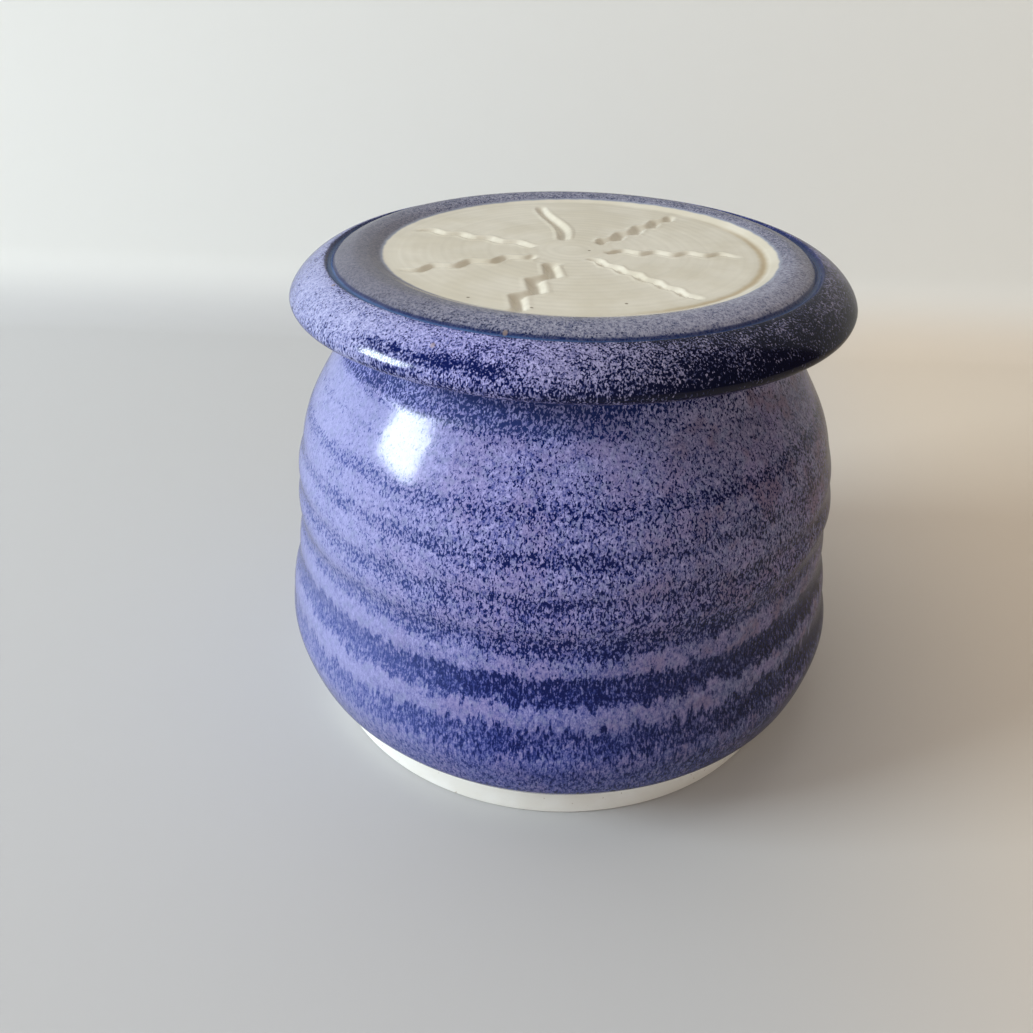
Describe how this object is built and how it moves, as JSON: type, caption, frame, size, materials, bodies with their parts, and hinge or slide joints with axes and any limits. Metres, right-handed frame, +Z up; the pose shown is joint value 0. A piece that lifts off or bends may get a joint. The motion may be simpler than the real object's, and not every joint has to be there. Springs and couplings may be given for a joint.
{
  "type": "butter crock",
  "caption": "Bellied stoneware butter crock with a wide rolled lid; a bell under the lid holds butter mouth down over water in the jar.",
  "frame": {"origin": "centre of the foot's underside, on the surface that the crock stands on", "axes": "+Z up along the axis that the crock was thrown about; -Y towards the pictured front"},
  "size_m": [0.1282, 0.1282, 0.106],
  "materials": {
    "lavender_glaze": "glossy lavender glaze, speckled and pooled dark blue in its grooves",
    "cream_glaze": "glossy cream liner glaze",
    "bare_clay": "matt unglazed stoneware"
  },
  "bodies": {
    "crock": {"crock_jar": "lavender_glaze"},
    "lid": {"lid_plate": "lavender_glaze", "butter_bell": "cream_glaze"}
  },
  "joints": [
    {"name": "lid_lift", "type": "slide", "parent": "crock", "child": "lid", "axis": [0, 0, 1], "range_m": [0, 0.08]}
  ]
}
